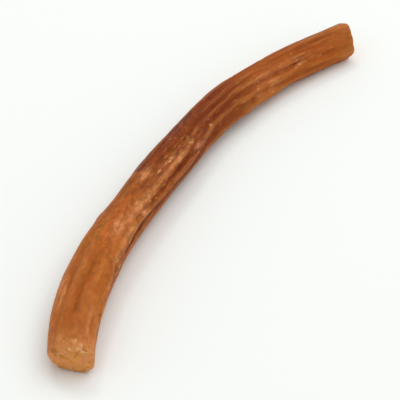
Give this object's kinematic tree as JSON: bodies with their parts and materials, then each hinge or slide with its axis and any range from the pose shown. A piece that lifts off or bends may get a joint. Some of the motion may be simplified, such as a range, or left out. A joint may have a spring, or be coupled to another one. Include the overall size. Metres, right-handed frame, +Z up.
{
  "type": "red ginseng root",
  "caption": "Steamed and dried root piece, gently bent and tapered, with lengthwise furrows, small side-root scars and a knife cut at each end, lying on its side.",
  "frame": {"origin": "on the surface that the root lies on, at the middle of its box seen from above", "axes": "+X along the root from its thick cut towards its thin cut, +Y towards the side that the bend bulges to, +Z up"},
  "size_m": [0.0724, 0.0138, 0.0057],
  "materials": {
    "root_skin": "semi-gloss, wrinkled, slightly translucent reddish-brown dried skin"
  },
  "bodies": {
    "root": {"ginseng_root": "root_skin"}
  },
  "joints": []
}
